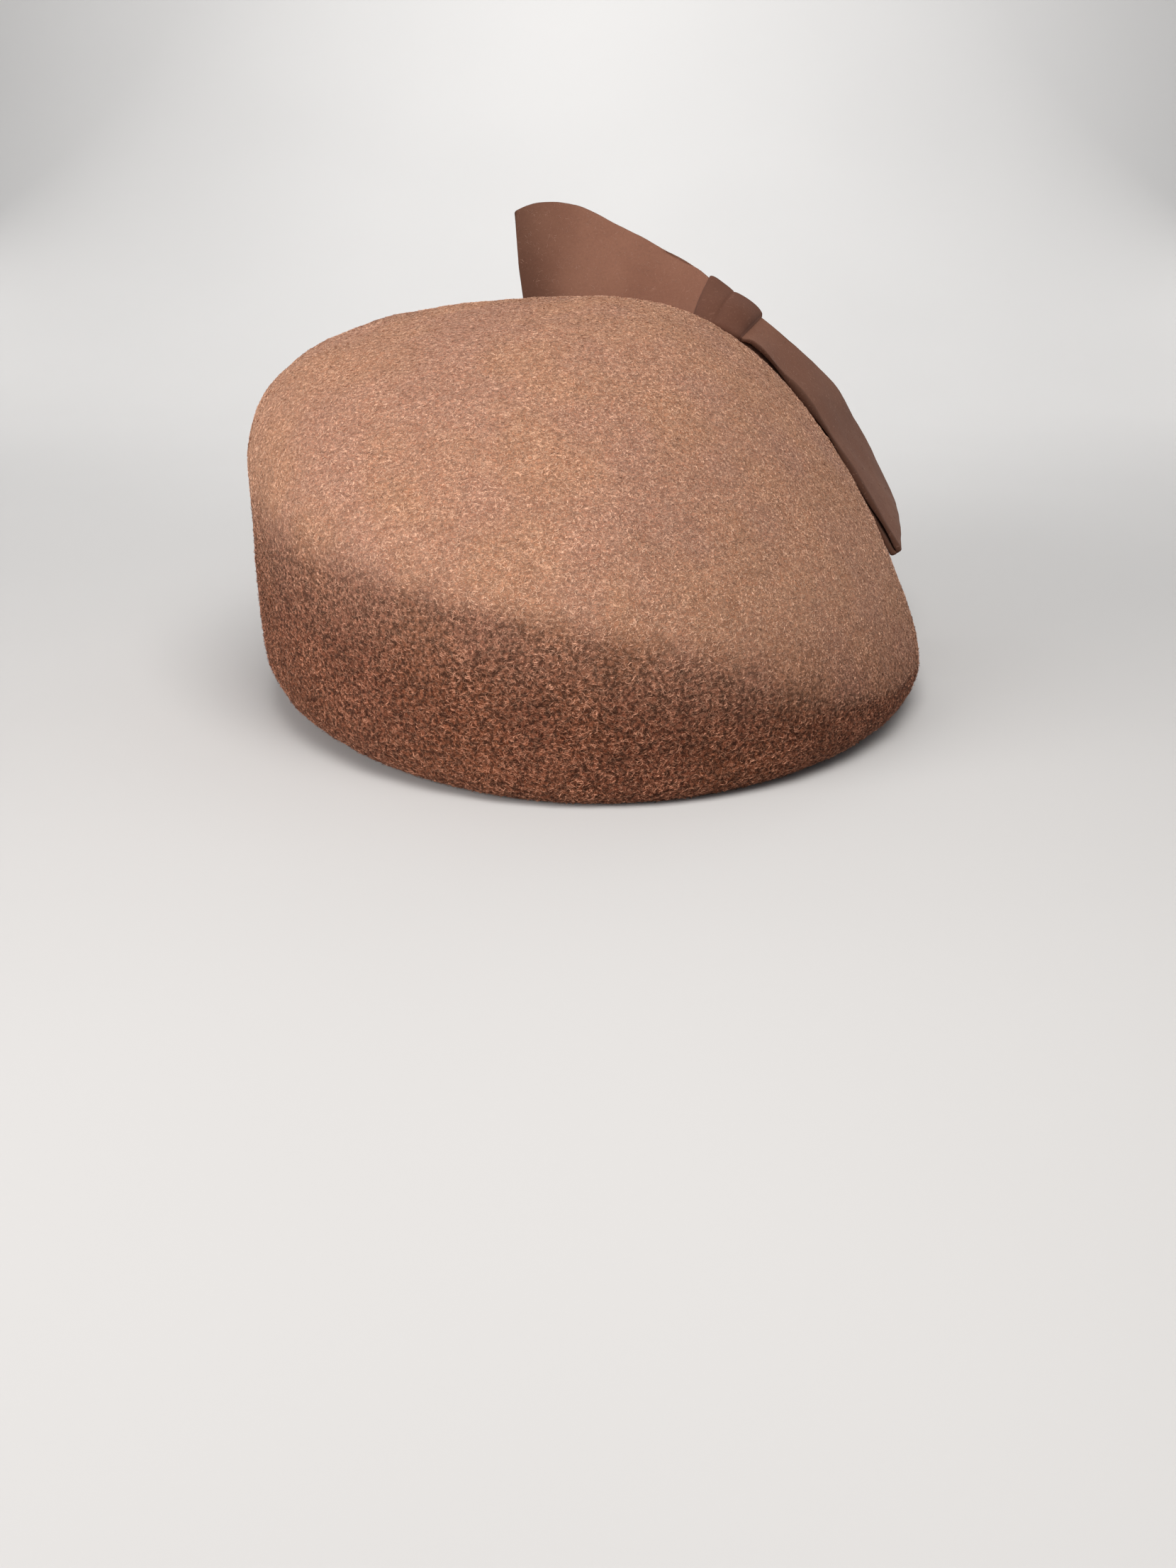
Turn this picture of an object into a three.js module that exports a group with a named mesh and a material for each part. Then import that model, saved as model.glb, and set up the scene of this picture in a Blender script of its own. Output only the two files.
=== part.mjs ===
// A felt pillbox hat: a hollow crown, tall at one side and low at the other, and a bow of two
// flattened loops with its knot, sewn to the back of the low shoulder.
// Millimetres, +Z up, the front of the hat towards -Y. It stands on the felt turned in under the crown.
import * as THREE from 'three';
import { mergeVertices } from 'three/addons/utils/BufferGeometryUtils.js';

// Crown
const crownHeight = 127;
const crownHalfWidth = 115;
const crownFront = 126;
const crownBack = 110;
const crownFelt = 2.4;
const tipFrontDrop = 34;
const tipBackRise = 14.5;
const tipSideRise = 4;

// Head opening, in the felt that is turned in under the crown
const openingWidth = 156;
const openingLength = 190;
const openingSetBack = -20.5;

// Bow
const bowFelt = 1.6;
const bowWidth = 46;
const bowSpread = 105;
const loopHalfLength = 92;
const loopOpening = 2.6;
const loopGap = 0.4;
const loopBelly = 1;
const loopPinchShare = 0.8;
const knotTurn = 48;
const knotLength = 25;
const knotFelt = 2;
const knotBulge = 1.5;
const knotCreaseShare = 0.75;
const knotFoldPower = 0.5;
const pieceGap = 0.3;

// How finely the surfaces are cut
const crownColumns = 64;
const tipRows = 12;
const wallRows = 3;
const turnRows = 5;
const loopSteps = 44;
const foldSteps = 6;
const bandSteps = 6;
const knotRows = 16;
const knotCornerSteps = 3;
const knotSideSteps = 5;
const slopeStep = 0.01;
const weldDistance = 1e-5;

// Eight directions round the crown, from the low side by way of the back, shares of crownHeight.
// edge: height of the tip's edge; turn: inset of the round under the wall.
// flat and power shape the tip's shoulder, 1 - reach ** flat, to the power.
const sides = [
  { edge: 0.118, turn: 0.11, flat: 2.0, power: 0.78 },
  { edge: 0.17, turn: 0.1, flat: 2.2, power: 0.5 },
  { edge: 0.21, turn: 0.1, flat: 2.8, power: 0.43 },
  { edge: 0.38, turn: 0.135, flat: 3.6, power: 0.25 },
  { edge: 0.51, turn: 0.18, flat: 2.4, power: 0.23 },
  { edge: 0.47, turn: 0.14, flat: 3.4, power: 0.34 },
  { edge: 0.375, turn: 0.05, flat: 2.0, power: 0.34 },
  { edge: 0.165, turn: 0.1, flat: 2.0, power: 0.73 },
];

// Stations along the bow, from the end of the upper loop by the knot to the end of the lower one.
// turn: place round the crown, a share of bowSpread from the knot; reach: place on the tip, 0 to 1.
// lift: the front edge's height over the felt, a share of loopOpening; width: a share of bowWidth.
// lean: degrees that the loop stands up from level; splay: degrees that it points to the low side.
const stations = [
  { turn: 0.58, reach: 0.735, lift: 0.62, width: 1.0, lean: 89, splay: -60 },
  { turn: 0.445, reach: 0.63, lift: 0.61, width: 0.96, lean: 75, splay: -14 },
  { turn: 0.205, reach: 0.62, lift: 0.635, width: 0.66, lean: 68, splay: 25 },
  { turn: 0.005, reach: 0.575, lift: 0.59, width: 0.39, lean: 31, splay: 30 },
  { turn: -0.135, reach: 0.7, lift: 0.52, width: 0.5, lean: 10, splay: 32 },
  { turn: -0.245, reach: 0.87, lift: 0.59, width: 0.815, lean: 9, splay: 16.5 },
  { turn: -0.375, reach: 0.95, lift: 1.1, width: 1.08, lean: 9, splay: 9 },
];

// Cubic through four neighbouring values, at a share t of the way from the second to the third.
function cubic(a, b, c, d, t) {
  const slope = c - a;
  const bend = 2 * a - 5 * b + 4 * c - d;
  const twist = 3 * b - a - 3 * c + d;
  return 0.5 * (2 * b + slope * t + bend * t * t + twist * t * t * t);
}

function sideValue(turn, name) {
  const place = (THREE.MathUtils.euclideanModulo(turn, 2 * Math.PI) / (2 * Math.PI)) * sides.length;
  const index = Math.floor(place);
  const near = [-1, 0, 1, 2].map((step) => sides[(index + step + sides.length) % sides.length][name]);
  return cubic(...near, place - index);
}

// A station's value by its place in the table, which runs straight on past either end.
function stationAt(place, name) {
  const inside = THREE.MathUtils.clamp(place, 0, stations.length - 1);
  return 2 * stations[inside][name] - stations[2 * inside - place][name];
}

function stationValue(along, name) {
  const last = stations.length - 1;
  const place = THREE.MathUtils.clamp((along + 1) / 2, 0, 1) * last;
  const index = Math.min(Math.floor(place), last - 1);
  const near = [-1, 0, 1, 2].map((step) => stationAt(index + step, name));
  return cubic(...near, place - index);
}

function crownHalfLength(turn) {
  return Math.sin(turn) < 0 ? crownFront : crownBack;
}

// Height of the crown's outer face over a share of its half sizes.
function tipHeight(turn, reach) {
  const edge = sideValue(turn, 'edge') * crownHeight;
  const across = reach * Math.cos(turn);
  const back = reach * Math.sin(turn);
  const plain = crownHeight + tipBackRise * back + tipSideRise * across - tipFrontDrop * back * back;
  const shoulder = Math.max(1 - reach ** sideValue(turn, 'flat'), 0) ** sideValue(turn, 'power');
  return edge + (plain - edge) * shoulder;
}

function crownPoint(turn, reach) {
  const x = reach * Math.cos(turn) * crownHalfWidth;
  const y = reach * Math.sin(turn) * crownHalfLength(turn);
  return new THREE.Vector3(x, y, tipHeight(turn, reach));
}

function crownNormal(turn, reach) {
  const outward = crownPoint(turn, reach + slopeStep).sub(crownPoint(turn, reach - slopeStep));
  const round = crownPoint(turn + slopeStep, reach).sub(crownPoint(turn - slopeStep, reach));
  return outward.cross(round).normalize();
}

// One direction of the crown's outer face: the tip, the wall, the round under it and the turned-in felt.
function crownProfile(turn) {
  const inset = sideValue(turn, 'turn') * crownHeight;
  const edge = sideValue(turn, 'edge') * crownHeight;
  const wall = crownPoint(turn, 1);
  const inward = new THREE.Vector3(-Math.cos(turn), -Math.sin(turn), 0);
  const profile = [];
  for (let row = 0; row <= tipRows; row += 1) {
    const reach = Math.sin((row / tipRows) * (Math.PI / 2));
    profile.push(crownPoint(turn, reach));
  }
  for (let row = 1; row <= wallRows; row += 1) {
    const height = THREE.MathUtils.lerp(edge, inset, row / wallRows);
    profile.push(new THREE.Vector3(wall.x, wall.y, height));
  }
  for (let row = 1; row <= turnRows; row += 1) {
    const angle = (row / turnRows) * (Math.PI / 2);
    const point = wall.clone().addScaledVector(inward, inset * (1 - Math.cos(angle)));
    point.z = inset * (1 - Math.sin(angle));
    profile.push(point);
  }
  const rimX = (openingWidth / 2) * Math.cos(turn);
  const rimY = openingSetBack + (openingLength / 2) * Math.sin(turn);
  profile.push(new THREE.Vector3(rimX, rimY, 0));
  return profile;
}

// Outward normals of a grid of columns that closes round, from its neighbours' differences.
function gridNormals(columns) {
  return columns.map((column, index) => {
    const before = columns[(index + columns.length - 1) % columns.length];
    const after = columns[(index + 1) % columns.length];
    return column.map((point, row) => {
      const down = column[Math.min(row + 1, column.length - 1)].clone().sub(column[Math.max(row - 1, 0)]);
      const round = after[row].clone().sub(before[row]);
      if (row === 0) return new THREE.Vector3(0, 0, 1);
      if (row === column.length - 1) return new THREE.Vector3(0, 0, -1);
      return down.cross(round).normalize();
    });
  });
}

// A closed skin over columns that close round. closeRows joins each column's last point to its first.
function closedSkin(columns, closeRows) {
  const rows = columns[0].length;
  const points = columns.flat();
  const positions = points.flatMap((point) => [point.x, point.y, point.z]);
  const triangles = [];
  const add = (a, b, c) => {
    const corners = [a, b, c].map((corner) => points[corner]);
    const lengths = corners.map((corner, index) => corner.distanceTo(corners[(index + 1) % corners.length]));
    const distinct = Math.min(...lengths) > weldDistance;
    if (distinct) triangles.push(a, b, c);
  };
  for (let column = 0; column < columns.length; column += 1) {
    const next = (column + 1) % columns.length;
    for (let row = 0; row < (closeRows ? rows : rows - 1); row += 1) {
      const below = (row + 1) % rows;
      add(column * rows + row, column * rows + below, next * rows + below);
      add(column * rows + row, next * rows + below, next * rows + row);
    }
  }
  const geometry = new THREE.BufferGeometry();
  geometry.setAttribute('position', new THREE.Float32BufferAttribute(positions, 3));
  geometry.setIndex(triangles);
  const welded = mergeVertices(geometry, weldDistance);
  welded.computeVertexNormals();
  return welded;
}

function crownGeometry() {
  const outer = [];
  for (let column = 0; column < crownColumns; column += 1) {
    outer.push(crownProfile((column / crownColumns) * 2 * Math.PI));
  }
  const normals = gridNormals(outer);
  const columns = outer.map((profile, column) => {
    const inner = profile.map((point, row) => point.clone().addScaledVector(normals[column][row], -crownFelt));
    return [...profile, ...inner.reverse()];
  });
  return closedSkin(columns, false);
}

// The bow's place at a share of its length, -1 to 1: the middle of its front edge's felt, the way
// across it and the way its face looks.
function bowFrame(along) {
  const turn = THREE.MathUtils.degToRad(knotTurn + stationValue(along, 'turn') * bowSpread);
  const reach = stationValue(along, 'reach');
  const lean = THREE.MathUtils.degToRad(stationValue(along, 'lean'));
  const splay = THREE.MathUtils.degToRad(stationValue(along, 'splay'));
  const lift = stationValue(along, 'lift') * loopOpening + bowFelt;
  const front = crownPoint(turn, reach).addScaledVector(crownNormal(turn, reach), lift);
  const level = Math.cos(lean);
  const across = new THREE.Vector3(Math.sin(splay) * level, Math.cos(splay) * level, Math.sin(lean));
  return { front, across };
}

function bowPoint(along, share, offset) {
  const { front, across } = bowFrame(along);
  const ahead = bowFrame(Math.min(along + slopeStep, 1)).front;
  const behind = bowFrame(Math.max(along - slopeStep, -1)).front;
  const face = ahead.sub(behind).cross(across).normalize();
  const width = stationValue(along, 'width') * bowWidth;
  return front.addScaledVector(across, share * width).addScaledVector(face, offset);
}

// Half the distance between the two layers of a loop, between the middles of their felt.
function halfOpening(distance) {
  const pinched = (bowFelt + loopGap) / 2;
  const flatEnd = loopHalfLength - loopOpening / 2;
  const opened = THREE.MathUtils.smoothstep(Math.abs(distance), knotLength / 2, flatEnd * loopPinchShare);
  return THREE.MathUtils.lerp(pinched, loopOpening / 2, opened);
}

// The loops seen from their edge: out along the upper layer, round a fold and back along the lower.
function loopOutline() {
  const flatEnd = loopHalfLength - loopOpening / 2;
  const outline = [];
  [1, -1].forEach((side) => {
    for (let step = 0; step <= loopSteps; step += 1) {
      const distance = THREE.MathUtils.lerp(-flatEnd, flatEnd, step / loopSteps) * side;
      outline.push(new THREE.Vector2(distance, halfOpening(distance) * side));
    }
    for (let step = 1; step < foldSteps; step += 1) {
      const angle = Math.PI / 2 - (step / foldSteps) * Math.PI;
      const distance = flatEnd + (loopOpening / 2) * Math.cos(angle);
      outline.push(new THREE.Vector2(distance * side, (loopOpening / 2) * Math.sin(angle) * side));
    }
  });
  return outline;
}

function bowLoopsGeometry() {
  const outline = loopOutline();
  const columns = outline.map((point, index) => {
    const before = outline[(index + outline.length - 1) % outline.length];
    const after = outline[(index + 1) % outline.length];
    const ahead = after.clone().sub(before).normalize();
    const outward = new THREE.Vector2(-ahead.y, ahead.x);
    const layer = (side, share) => {
      const placed = point.clone().addScaledVector(outward, (side * bowFelt) / 2);
      const opened = THREE.MathUtils.smoothstep(Math.abs(placed.x), knotLength / 2, loopHalfLength);
      const belly = loopBelly * opened * (1 - (2 * share - 1) ** 2);
      return bowPoint(placed.x / loopHalfLength, share, placed.y + belly);
    };
    const shares = Array.from({ length: bandSteps + 1 }, (unused, step) => step / bandSteps);
    return [...shares.map((share) => layer(-1, share)), ...shares.reverse().map((share) => layer(1, share))];
  });
  return closedSkin(columns, true);
}

// Directions round the knot's section: each corner of the pinched felt, then the side that follows it.
function knotSection(halfWidth, halfDepth, radius, bulge) {
  const corners = [
    [1, 1],
    [-1, 1],
    [-1, -1],
    [1, -1],
  ];
  return corners.flatMap(([sideX, sideY], index) => {
    const centre = new THREE.Vector2(sideX * halfWidth, sideY * halfDepth);
    const [nextX, nextY] = corners[(index + 1) % corners.length];
    const nextCentre = new THREE.Vector2(nextX * halfWidth, nextY * halfDepth);
    const arc = [];
    for (let step = 0; step <= knotCornerSteps; step += 1) {
      const angle = (index + step / knotCornerSteps) * (Math.PI / 2);
      arc.push(centre.clone().add(new THREE.Vector2(Math.cos(angle), Math.sin(angle)).multiplyScalar(radius)));
    }
    const outward = ((index + 1) * Math.PI) / 2;
    const away = new THREE.Vector2(Math.cos(outward), Math.sin(outward));
    for (let step = 1; step < knotSideSteps; step += 1) {
      const share = step / knotSideSteps;
      const swell = bulge * Math.sin(share * Math.PI) * Math.abs(away.y);
      arc.push(centre.clone().lerp(nextCentre, share).addScaledVector(away, radius + swell));
    }
    return arc;
  });
}

function knotGeometry() {
  const ring = (along, thickness, bulge) => {
    const distance = along * loopHalfLength;
    const width = stationValue(along, 'width') * bowWidth;
    const halfDepth = halfOpening(distance) + bowFelt / 2;
    const section = knotSection(width / 2, halfDepth, pieceGap + thickness, bulge);
    return section.map((place) => bowPoint(along, 0.5 + place.x / width, place.y));
  };
  const halfKnot = knotLength / 2 / loopHalfLength;
  const outer = [];
  const inner = [];
  for (let row = 0; row <= knotRows; row += 1) {
    const share = row / knotRows;
    const along = THREE.MathUtils.lerp(-halfKnot, halfKnot, share);
    const folds = Math.abs(Math.sin(share * 2 * Math.PI)) ** knotFoldPower;
    const swell = THREE.MathUtils.lerp(knotCreaseShare, 1, folds);
    outer.push(ring(along, knotFelt * swell, knotBulge * swell));
    inner.push(ring(along, 0, 0));
  }
  return closedSkin([...outer, ...inner.reverse()], true);
}

// Sets the bow down on the crown, so that its lowest point keeps the gap to the felt.
function seatDrop(geometries) {
  const point = new THREE.Vector3();
  let clearance = Infinity;
  geometries.forEach((geometry) => {
    const places = geometry.getAttribute('position');
    for (let index = 0; index < places.count; index += 1) {
      point.fromBufferAttribute(places, index);
      const across = point.x / crownHalfWidth;
      const back = point.y / (point.y < 0 ? crownFront : crownBack);
      const reach = Math.hypot(across, back);
      if (reach < 1) {
        clearance = Math.min(clearance, point.z - tipHeight(Math.atan2(back, across), reach));
      }
    }
  });
  return clearance - 2 * pieceGap;
}

function felt(name, geometry, color, roughness) {
  const mesh = new THREE.Mesh(geometry, new THREE.MeshStandardMaterial({ color, roughness, metalness: 0 }));
  mesh.name = name;
  return mesh;
}

const crown = felt('crown', crownGeometry(), 0xa87359, 0.95);
const bowLoops = felt('bow_loops', bowLoopsGeometry(), 0x8c6153, 0.85);
const bowKnot = felt('bow_knot', knotGeometry(), 0x7f5648, 0.85);

const bow = new THREE.Group();
bow.add(bowLoops, bowKnot);
bow.position.z = -seatDrop([bowLoops.geometry, bowKnot.geometry]);

const group = new THREE.Group();
group.add(crown, bow);
group.updateMatrixWorld(true);
const centre = new THREE.Box3().setFromObject(group, true).getCenter(new THREE.Vector3());
group.position.set(-centre.x, -centre.y, 0);

export default group;
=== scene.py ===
import math
import bpy
import numpy as np
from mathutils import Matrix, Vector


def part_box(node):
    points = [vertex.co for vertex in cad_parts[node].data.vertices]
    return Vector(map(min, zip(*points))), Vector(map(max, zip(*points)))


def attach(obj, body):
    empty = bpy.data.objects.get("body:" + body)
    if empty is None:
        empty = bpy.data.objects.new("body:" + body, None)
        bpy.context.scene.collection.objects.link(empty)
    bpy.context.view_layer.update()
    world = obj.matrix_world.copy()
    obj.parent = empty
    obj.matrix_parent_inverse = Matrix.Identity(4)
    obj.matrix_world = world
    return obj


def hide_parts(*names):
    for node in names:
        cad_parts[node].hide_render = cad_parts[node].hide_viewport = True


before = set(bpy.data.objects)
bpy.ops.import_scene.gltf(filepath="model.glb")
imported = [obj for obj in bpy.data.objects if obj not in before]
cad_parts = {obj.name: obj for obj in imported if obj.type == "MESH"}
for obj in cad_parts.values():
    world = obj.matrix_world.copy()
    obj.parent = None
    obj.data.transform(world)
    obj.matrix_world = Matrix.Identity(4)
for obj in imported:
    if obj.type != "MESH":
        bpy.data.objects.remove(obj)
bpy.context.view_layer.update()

mm = 0.001


# Surfaces

def cubicThrough(before, start, end, after, t):
    # cubic through four neighbouring values, t of the way from start to end
    slope = end - before
    bend = 2 * before - 5 * start + 4 * end - after
    twist = 3 * start - before - 3 * end + after
    return 0.5 * (2 * start + slope * t + bend * t ** 2 + twist * t ** 3)


def smoothStep(value, low, high):
    # 0 below low, 1 above high, an eased curve between
    t = np.clip((value - low) / (high - low), 0, 1)
    return t * t * (3 - 2 * t)


def unit(vectors):
    length = np.linalg.norm(vectors, axis=-1, keepdims=True)
    return vectors / np.maximum(length, 1e-12)


def waviness(points, shortest, longest, waves, seed):
    # a sum of sines along random directions, with wave lengths from shortest to longest
    rng = np.random.default_rng(seed)
    lengths = rng.uniform(shortest, longest, waves)
    directions = unit(rng.normal(size=(waves, 3))) * (2 * np.pi / lengths)[:, None]
    phases = rng.uniform(0, 2 * np.pi, waves)
    return np.sin(points @ directions.T + phases).sum(-1) / math.sqrt(waves / 2)


def gridNormals(grid, roundRows=False):
    # cross product of the differences down the rows and round the columns, which close
    wrapped = np.concatenate([grid[:, -1:], grid, grid[:, :1]], axis=1)
    beside = wrapped[:, 2:] - wrapped[:, :-2]
    if roundRows:
        down = np.roll(grid, -1, axis=0) - np.roll(grid, 1, axis=0)
    else:
        down = np.gradient(grid, axis=0)
    return unit(np.cross(down, beside))


def gridFaces(rows, columns, roundRows=False):
    # quads between neighbouring rows and columns; the columns close, the rows if asked
    row = np.arange(rows if roundRows else rows - 1)[:, None]
    column = np.arange(columns)[None, :]
    below = (row + 1) % rows
    beside = (column + 1) % columns
    corners = [row * columns + column, below * columns + column,
               below * columns + beside, row * columns + beside]
    return np.stack(corners, axis=-1).reshape(-1, 4)


def addMesh(name, points, quads, triangles=None, attributes=None):
    # one mesh object at the origin, smooth, from arrays of points, quads and triangles
    mesh = bpy.data.meshes.new(name)
    triangles = np.zeros((0, 3), int) if triangles is None else triangles
    loops = np.concatenate([quads.ravel(), triangles.ravel()])
    sizes = np.concatenate([np.full(len(quads), 4), np.full(len(triangles), 3)])
    starts = np.concatenate([[0], np.cumsum(sizes)[:-1]])
    mesh.vertices.add(len(points))
    mesh.vertices.foreach_set("co", points.astype(np.float32).ravel())
    mesh.loops.add(len(loops))
    mesh.loops.foreach_set("vertex_index", loops.astype(np.int32))
    mesh.polygons.add(len(sizes))
    mesh.polygons.foreach_set("loop_start", starts.astype(np.int32))
    mesh.polygons.foreach_set("loop_total", sizes.astype(np.int32))
    mesh.polygons.foreach_set("use_smooth", np.ones(len(sizes), bool))
    mesh.update(calc_edges=True)
    for key, values in (attributes or {}).items():
        attribute = mesh.attributes.new(key, "FLOAT", "POINT")  # one number at each point
        attribute.data.foreach_set("value", values.astype(np.float32).ravel())
    mesh.validate()
    piece = bpy.data.objects.new(name, mesh)
    bpy.context.scene.collection.objects.link(piece)
    return piece


# Material nodes

def newMaterial(name):
    material = bpy.data.materials.new(name)
    material.use_nodes = True
    tree = material.node_tree
    tree.nodes.clear()
    output = tree.nodes.new("ShaderNodeOutputMaterial")
    shader = tree.nodes.new("ShaderNodeBsdfPrincipled")
    tree.links.new(shader.outputs["BSDF"], output.inputs["Surface"])
    return material, tree, shader


def plug(tree, value, socket):
    if isinstance(value, bpy.types.NodeSocket):
        tree.links.new(value, socket)
    else:
        socket.default_value = value


def noise(tree, scale, detail=2.0, roughness=0.5, distortion=0.0, vector=None):
    node = tree.nodes.new("ShaderNodeTexNoise")
    node.inputs["Scale"].default_value = scale
    node.inputs["Detail"].default_value = detail
    node.inputs["Roughness"].default_value = roughness
    node.inputs["Distortion"].default_value = distortion
    if vector is None:
        vector = tree.nodes.new("ShaderNodeTexCoord").outputs["Object"]
    tree.links.new(vector, node.inputs["Vector"])
    return node.outputs["Fac"]


def ranged(tree, value, low, high, start=0.0, end=1.0):
    node = tree.nodes.new("ShaderNodeMapRange")
    node.interpolation_type = "SMOOTHSTEP"
    plug(tree, value, node.inputs["Value"])
    node.inputs["From Min"].default_value = low
    node.inputs["From Max"].default_value = high
    node.inputs["To Min"].default_value = start
    node.inputs["To Max"].default_value = end
    return node.outputs["Result"]


def maths(tree, operation, first, second=0.0):
    node = tree.nodes.new("ShaderNodeMath")
    node.operation = operation
    plug(tree, first, node.inputs[0])
    plug(tree, second, node.inputs[1])
    return node.outputs[0]


def mixColours(tree, share, first, second, blend="MIX"):
    node = tree.nodes.new("ShaderNodeMix")
    node.data_type = "RGBA"
    node.blend_type = blend
    plug(tree, share, node.inputs[0])
    plug(tree, first, node.inputs[6])
    plug(tree, second, node.inputs[7])
    return node.outputs[2]


def strands(tree, scale, stretch, width):
    # thin winding lines: where a warped noise passes its middle value, closer together along stretch
    spread = tree.nodes.new("ShaderNodeMapping")
    spread.inputs["Scale"].default_value = stretch
    spread.inputs["Location"].default_value = (scale * 0.01, 0, 0)
    tree.links.new(tree.nodes.new("ShaderNodeTexCoord").outputs["Object"], spread.inputs["Vector"])
    value = noise(tree, scale, 1.5, 0.5, 1.2, spread.outputs["Vector"])
    away = maths(tree, "ABSOLUTE", maths(tree, "SUBTRACT", value, 0.5))
    return ranged(tree, away, 0.0, width, 1.0, 0.0)


def attributeValue(tree, name):
    node = tree.nodes.new("ShaderNodeAttribute")
    node.attribute_name = name
    return node.outputs["Fac"]


def bump(tree, height, distance, strength=1.0):
    node = tree.nodes.new("ShaderNodeBump")
    node.inputs["Distance"].default_value = distance
    node.inputs["Strength"].default_value = strength
    tree.links.new(height, node.inputs["Height"])
    return node.outputs["Normal"]


# Crown: one blocked felt shell, tall at one side, turned in under itself round the head opening
crown = {
    "height": 127 * mm,
    "halfWidth": 115 * mm,
    "front": 126 * mm,
    "back": 110 * mm,
    "felt": 2.4 * mm,
    "tipFrontDrop": 34 * mm,
    "tipBackRise": 14.5 * mm,
    "tipSideRise": 4 * mm,
    "openingWidth": 156 * mm,
    "openingLength": 190 * mm,
    "openingSetBack": -20.5 * mm,
    "columns": 320,
    "tipRows": 100,
    "wallRows": 26,
    "turnRows": 26,
    "underRows": 8,
    "rimRows": 6,
    "innerEvery": 3,
    "slowWave": 0.15 * mm,
    "quickWave": 0.09 * mm,
    "levelHeight": 6 * mm,
    "sideFrom": -0.22,
    "sideTo": 0.7,
    "fuzzOnTip": 0.85,
    "fuzzOnWall": 1.35,
    "fuzzUnder": 0.25,
}

# eight directions round it from the low side by way of the back: the tip edge's height and the
# inset of the round underneath, both shares of height, and the two powers of the shoulder
crownSides = np.array([
    [0.118, 0.11, 2.0, 0.78],
    [0.17, 0.1, 2.2, 0.5],
    [0.21, 0.1, 2.8, 0.43],
    [0.38, 0.135, 3.6, 0.25],
    [0.51, 0.18, 2.4, 0.23],
    [0.47, 0.14, 3.4, 0.34],
    [0.375, 0.05, 2.0, 0.34],
    [0.165, 0.1, 2.0, 0.73],
])


def sideValues(angle):
    place = (angle / (2 * np.pi) % 1.0) * len(crownSides)
    index = np.floor(place).astype(int)
    t = (place - index)[..., None]
    near = [crownSides[(index + step) % len(crownSides)] for step in (-1, 0, 1, 2)]
    return cubicThrough(*near, t)


def tipHeight(angle, reach):
    # a bowed plain that drops to the front, times a shoulder that falls to the edge's height
    values = sideValues(angle)
    edge = values[..., 0] * crown["height"]
    across = reach * np.cos(angle)
    back = reach * np.sin(angle)
    plain = crown["height"] + crown["tipBackRise"] * back + crown["tipSideRise"] * across
    plain = plain - crown["tipFrontDrop"] * back ** 2
    shoulder = np.maximum(1 - np.maximum(reach, 0) ** values[..., 2], 0) ** values[..., 3]
    return edge + (plain - edge) * shoulder


def crownPoint(angle, reach):
    length = np.where(np.sin(angle) < 0, crown["front"], crown["back"])
    x = reach * np.cos(angle) * crown["halfWidth"]
    y = reach * np.sin(angle) * length
    return np.stack([x, y, tipHeight(angle, reach)], axis=-1)


def crownNormal(angle, reach, step=0.01):
    outward = crownPoint(angle, reach + step) - crownPoint(angle, reach - step)
    around = crownPoint(angle + step, reach) - crownPoint(angle - step, reach)
    return unit(np.cross(outward, around))


def crownOuter():
    # rows from the top's middle out over the tip, down the wall, round under it and in to the opening
    angle = np.linspace(0, 2 * np.pi, crown["columns"], endpoint=False)[None, :]
    values = sideValues(angle)
    edge = values[..., 0] * crown["height"]
    inset = values[..., 1] * crown["height"]
    gather = np.clip(0.95 / values[..., 3], 1.25, 3.6)  # closer rows where the shoulder is steep
    share = np.linspace(0, 1, crown["tipRows"] + 1)[:, None]
    tip = crownPoint(angle + 0 * share, 1 - (1 - share) ** gather)
    wallShare = np.linspace(0, 1, crown["wallRows"] + 1)[1:, None]
    wall = np.repeat(tip[-1:], crown["wallRows"], axis=0)
    wall[..., 2] = edge + (inset - edge) * wallShare
    turn = np.linspace(0, np.pi / 2, crown["turnRows"] + 1)[1:, None]
    under = np.repeat(tip[-1:], crown["turnRows"], axis=0)
    under[..., 0] -= np.cos(angle) * inset * (1 - np.cos(turn))
    under[..., 1] -= np.sin(angle) * inset * (1 - np.cos(turn))
    under[..., 2] = inset * (1 - np.sin(turn))
    rimX = crown["openingWidth"] / 2 * np.cos(angle)
    rimY = crown["openingSetBack"] + crown["openingLength"] / 2 * np.sin(angle)
    rim = np.stack([rimX, rimY, 0 * rimX], axis=-1)
    inShare = np.linspace(0, 1, crown["underRows"] + 1)[1:, None, None]
    flat = under[-1:] + (rim - under[-1:]) * inShare
    return np.concatenate([tip, wall, under, flat])


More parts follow.
